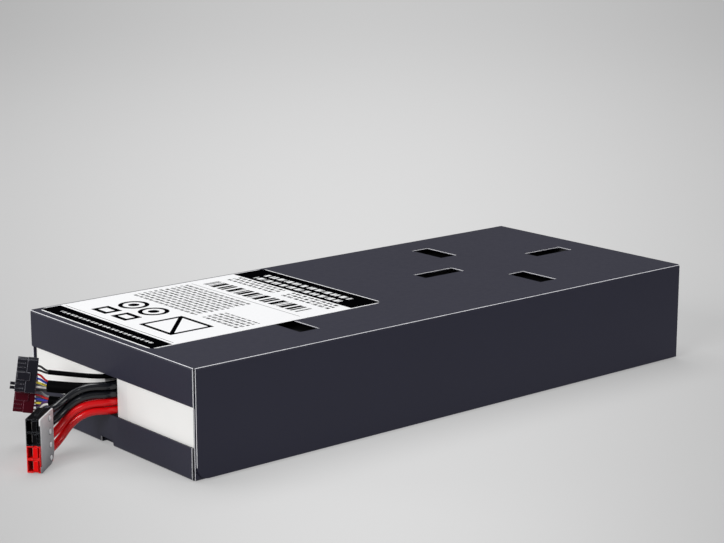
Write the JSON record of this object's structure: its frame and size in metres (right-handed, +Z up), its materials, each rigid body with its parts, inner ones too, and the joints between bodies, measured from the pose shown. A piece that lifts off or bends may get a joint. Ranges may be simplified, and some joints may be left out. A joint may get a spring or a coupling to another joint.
{
  "type": "ups battery cartridge",
  "caption": "Sheet-metal battery cartridge with sealed blocks inside, a slotted lapped cover, and a short harness with stacked power housings and two sense connectors at one end.",
  "frame": {"origin": "centre of the case's base, where the tray rests on the floor", "axes": "+X along the case away from the harness end, +Y across the case, +Z up through the slotted cover"},
  "size_m": [0.5538, 0.2074, 0.0782],
  "materials": {
    "case_paint": "semi-gloss dark blue-grey powder coat",
    "screw_zinc": "zinc plated",
    "label_film": "satin printed polyester film, white with black bands",
    "liner_sheet": "smooth flame-retardant sheet",
    "foam": "closed-cell foam",
    "block_case": "moulded ABS, fine texture",
    "block_lid": "moulded ABS, fine texture",
    "tab_metal": "tin-plated brass",
    "boot_nylon": "insulating nylon boots, red and black",
    "lead_red": "extruded insulation, soft gloss",
    "lead_black": "extruded insulation, soft gloss",
    "splice_nylon": "crimped nylon sleeve",
    "harness_tape": "woven harness tape",
    "sense_wire_mixed": "thin insulated wires",
    "housing_black": "moulded polycarbonate",
    "housing_red": "moulded polycarbonate",
    "contact_silver": "silver plated",
    "plate_steel": "brushed, zinc plated",
    "pin_steel": "plain steel",
    "sleeve_black": "shrink tubing",
    "connector_grey": "moulded nylon",
    "connector_maroon": "moulded nylon",
    "contact_tin": "tin plated",
    "sense_wire_upper": "thin insulated wires, black",
    "sense_wire_middle": "thin insulated wires of red, blue, yellow, white and black",
    "sense_wire_lower": "thin insulated wires of red, blue, yellow, black and grey"
  },
  "bodies": {
    "root": {"top_cover": "case_paint", "bottom_tray": "case_paint", "cover_screws": "screw_zinc", "label": "label_film", "base_liner": "liner_sheet", "base_foam_pads": "foam", "row_foam_strips": "foam", "end_foam_pads": "foam", "top_insulating_sheet": "liner_sheet", "top_foam_strips": "foam", "battery_case_near_front": "block_case", "battery_case_near_middle": "block_case", "battery_case_near_rear": "block_case", "battery_case_far_front": "block_case", "battery_case_far_middle": "block_case", "battery_case_far_rear": "block_case", "battery_lid_near_front": "block_lid", "battery_lid_near_middle": "block_lid", "battery_lid_near_rear": "block_lid", "battery_lid_far_front": "block_lid", "battery_lid_far_middle": "block_lid", "battery_lid_far_rear": "block_lid", "terminals_near": "tab_metal", "terminals_far": "tab_metal", "receptacles_near": "boot_nylon", "receptacles_far": "boot_nylon", "jumper_near_front": "lead_black", "jumper_near_rear": "lead_black", "jumper_far_front": "lead_black", "jumper_far_rear": "lead_black", "inner_lead_near_front": "lead_red", "inner_lead_far_front": "lead_red", "inner_lead_near_rear": "lead_black", "inner_lead_far_rear": "lead_black", "lead_splices": "splice_nylon", "sense_harness_wrap": "harness_tape", "sense_bundle": "harness_tape", "sense_taps": "sense_wire_mixed", "power_lead_black_upper": "lead_black", "power_lead_black_lower": "lead_black", "power_lead_red_upper": "lead_red", "power_lead_red_lower": "lead_red", "power_housing_black_upper": "housing_black", "power_housing_black_lower": "housing_black", "power_housing_red_upper": "housing_red", "power_housing_red_lower": "housing_red", "power_contacts": "contact_silver", "connector_side_plate": "plate_steel", "side_plate_pins": "pin_steel", "sense_sleeve_upper": "sleeve_black", "sense_sleeve_middle": "sleeve_black", "sense_sleeve_lower": "sleeve_black", "sense_connector_upper": "connector_grey", "sense_connector_lower": "connector_maroon", "sense_contacts": "contact_tin", "sense_wires_upper": "sense_wire_upper", "sense_wires_middle": "sense_wire_middle", "sense_wires_lower": "sense_wire_lower"}
  },
  "joints": []
}
